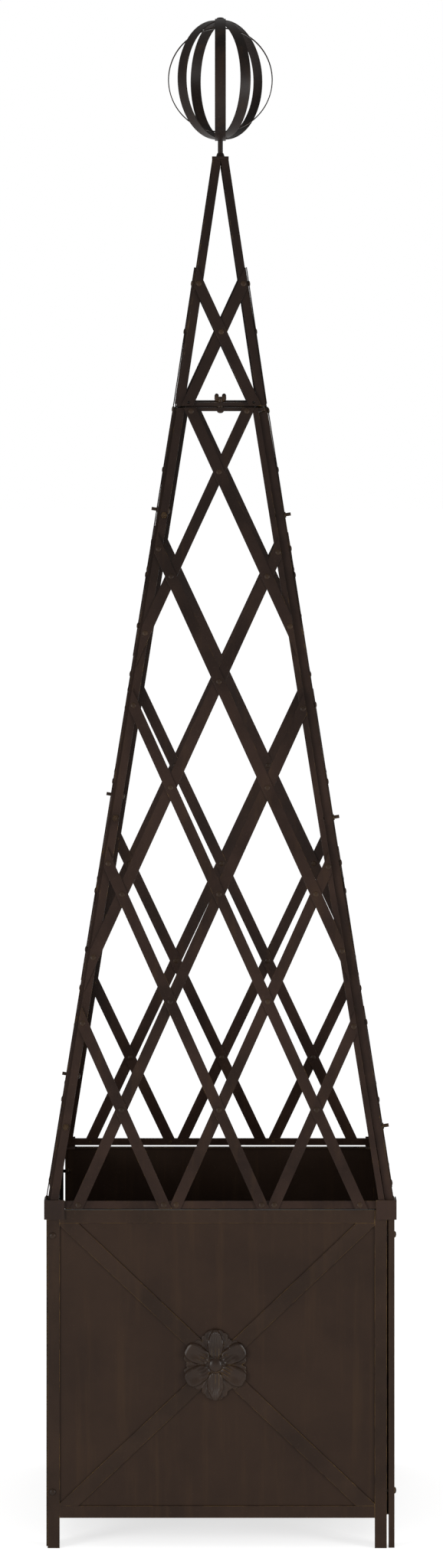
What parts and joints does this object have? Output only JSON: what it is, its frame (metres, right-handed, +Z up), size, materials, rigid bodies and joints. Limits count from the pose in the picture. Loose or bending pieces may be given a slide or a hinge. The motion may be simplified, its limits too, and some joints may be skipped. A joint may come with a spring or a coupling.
{
  "type": "planter with trellis",
  "caption": "Square metal floor planter on legs with crossed straps and rosettes, under a tall lift-off pyramid lattice trellis with a hoop finial.",
  "frame": {"origin": "centre of the footprint on the floor", "axes": "+Z up, front panel faces -Y, sides along X and Y"},
  "size_m": [0.5084, 0.5084, 2.188],
  "materials": {
    "sheet_paint": "satin",
    "cast_rosette": "satin",
    "tray_steel": "satin",
    "fasteners": "satin",
    "planter_paint": "satin",
    "finial_paint": "satin",
    "trellis_paint": "satin"
  },
  "bodies": {
    "planter": {"front_left_leg": "planter_paint", "front_right_leg": "planter_paint", "front_bottom_rail": "planter_paint", "front_top_rail": "planter_paint", "front_sheet": "sheet_paint", "front_cross": "planter_paint", "right_left_leg": "planter_paint", "right_right_leg": "planter_paint", "right_bottom_rail": "planter_paint", "right_top_rail": "planter_paint", "right_sheet": "sheet_paint", "right_cross": "planter_paint", "back_left_leg": "planter_paint", "back_right_leg": "planter_paint", "back_bottom_rail": "planter_paint", "back_top_rail": "planter_paint", "back_sheet": "sheet_paint", "back_cross": "planter_paint", "left_left_leg": "planter_paint", "left_right_leg": "planter_paint", "left_bottom_rail": "planter_paint", "left_top_rail": "planter_paint", "left_sheet": "sheet_paint", "left_cross": "planter_paint", "rosettes": "cast_rosette", "planter_bolts": "fasteners", "planter_nuts": "fasteners"},
    "tray": {"floor_tray": "tray_steel"},
    "trellis": {"apex_plate": "trellis_paint", "back_lattice": "trellis_paint", "back_lower_angle": "trellis_paint", "back_lower_bar": "trellis_paint", "back_upper_bars": "trellis_paint", "base_rails": "trellis_paint", "corner_collars": "trellis_paint", "crossing_rivets": "fasteners", "front_lattice": "trellis_paint", "front_lower_angle": "trellis_paint", "front_lower_bar": "trellis_paint", "front_upper_bars": "trellis_paint", "joint_bolts": "fasteners", "joint_spacers": "fasteners", "left_lattice": "trellis_paint", "left_lower_angle": "trellis_paint", "left_lower_bar": "trellis_paint", "left_upper_bars": "trellis_paint", "lower_ring": "trellis_paint", "right_lattice": "trellis_paint", "right_lower_angle": "trellis_paint", "right_lower_bar": "trellis_paint", "right_upper_bars": "trellis_paint", "strap_end_rivets": "fasteners", "trellis_bolts": "fasteners", "trellis_nuts": "fasteners", "upper_ring": "trellis_paint", "upper_straps": "trellis_paint", "wing_nuts": "fasteners"},
    "finial": {"finial_rod": "finial_paint", "finial_hoops": "finial_paint", "finial_nut": "fasteners"}
  },
  "joints": [
    {"name": "tray_lift", "type": "slide", "parent": "planter", "child": "tray", "axis": [0, 0, 1], "range_m": [0, 0.3]},
    {"name": "trellis_lift", "type": "slide", "parent": "planter", "child": "trellis", "axis": [0, 0, 1], "range_m": [0, 0.3]},
    {"name": "finial_turn", "type": "hinge", "parent": "trellis", "child": "finial", "pos_m": [0, 0, 1.98], "axis": [0, 0, 1], "continuous": true}
  ]
}
